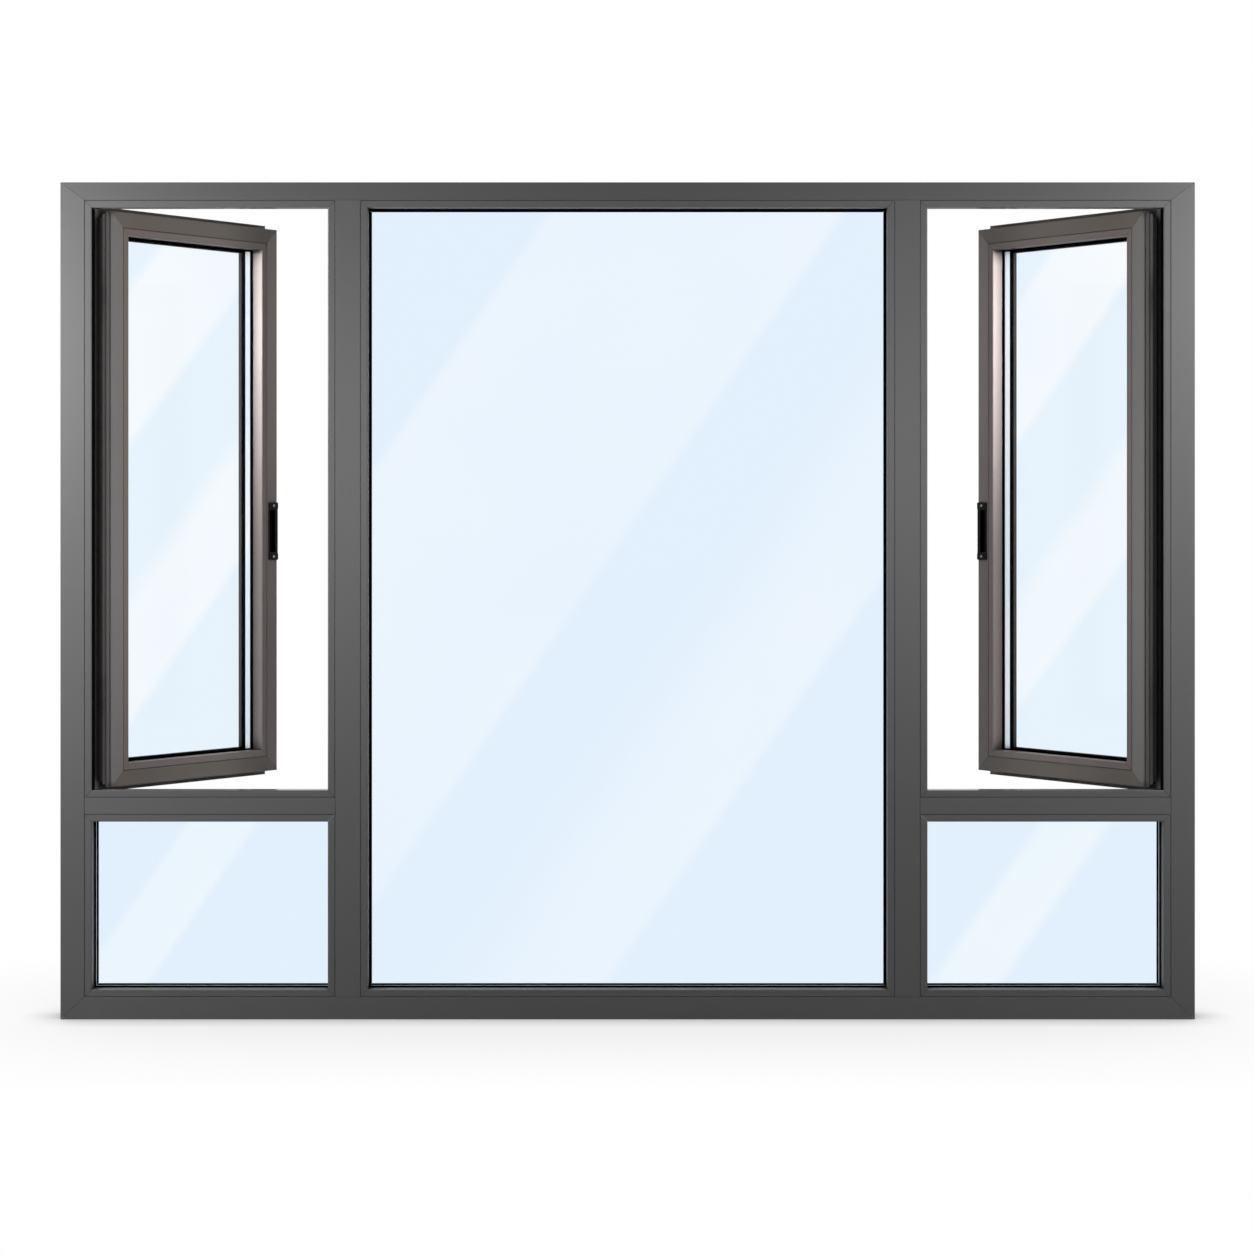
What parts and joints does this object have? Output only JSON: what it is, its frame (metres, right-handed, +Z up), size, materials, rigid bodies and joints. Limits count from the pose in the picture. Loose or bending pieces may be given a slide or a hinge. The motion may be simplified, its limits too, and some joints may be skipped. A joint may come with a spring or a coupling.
{
  "type": "double casement window",
  "caption": "Dark grey aluminium window with a large fixed centre light, fixed lower side lights and upper side casements hinged at the jambs and standing open outwards.",
  "frame": {"origin": "middle of the sill's underside", "axes": "+X along the sill to the right seen from the room, +Y outdoors, +Z up"},
  "size_m": [2.27, 0.5197, 1.675],
  "materials": {
    "frame_paint": "satin dark grey powder coat",
    "sash_paint": "satin dark grey powder coat, slightly warm",
    "bead_paint": "satin dark grey powder coat on slim extrusions",
    "black_rubber": "matt extruded gasket",
    "clear_glass": "clear float glass with a faint blue cast",
    "spacer_bar": "bright mill aluminium spacer of the sealed units",
    "lock_black": "satin black die casting",
    "hinge_metal": "dark grey coated steel"
  },
  "bodies": {
    "frame": {"centre_beads": "bead_paint", "centre_gaskets": "black_rubber", "centre_panes": "clear_glass", "centre_spacer": "spacer_bar", "head": "frame_paint", "left_casement_seals": "black_rubber", "left_casement_stops": "bead_paint", "left_hinge_frame_leaves": "hinge_metal", "left_jamb": "frame_paint", "left_lower_beads": "bead_paint", "left_lower_gaskets": "black_rubber", "left_lower_panes": "clear_glass", "left_lower_spacer": "spacer_bar", "left_mullion": "frame_paint", "left_transom": "frame_paint", "right_casement_seals": "black_rubber", "right_casement_stops": "bead_paint", "right_hinge_frame_leaves": "hinge_metal", "right_jamb": "frame_paint", "right_lower_beads": "bead_paint", "right_lower_gaskets": "black_rubber", "right_lower_panes": "clear_glass", "right_lower_spacer": "spacer_bar", "right_mullion": "frame_paint", "right_transom": "frame_paint", "sill": "frame_paint"},
    "left_casement": {"left_casement_beads": "bead_paint", "left_casement_bottom_rail": "sash_paint", "left_casement_gaskets": "black_rubber", "left_casement_hinge_stile": "sash_paint", "left_casement_lock": "lock_black", "left_casement_lock_stile": "sash_paint", "left_casement_panes": "clear_glass", "left_casement_spacer": "spacer_bar", "left_casement_top_rail": "sash_paint", "left_hinge_sash_leaves": "hinge_metal"},
    "right_casement": {"right_casement_beads": "bead_paint", "right_casement_bottom_rail": "sash_paint", "right_casement_gaskets": "black_rubber", "right_casement_hinge_stile": "sash_paint", "right_casement_lock": "lock_black", "right_casement_lock_stile": "sash_paint", "right_casement_panes": "clear_glass", "right_casement_spacer": "spacer_bar", "right_casement_top_rail": "sash_paint", "right_hinge_sash_leaves": "hinge_metal"}
  },
  "joints": [
    {"name": "left_casement_swing", "type": "hinge", "parent": "frame", "child": "left_casement", "pos_m": [-1.1128, 0.0475, 1.0415], "axis": [0, 0, 1], "range_deg": [-53, 37]},
    {"name": "right_casement_swing", "type": "hinge", "parent": "frame", "child": "right_casement", "pos_m": [1.1128, 0.0475, 1.0415], "axis": [0, 0, -1], "range_deg": [-53, 37]}
  ]
}
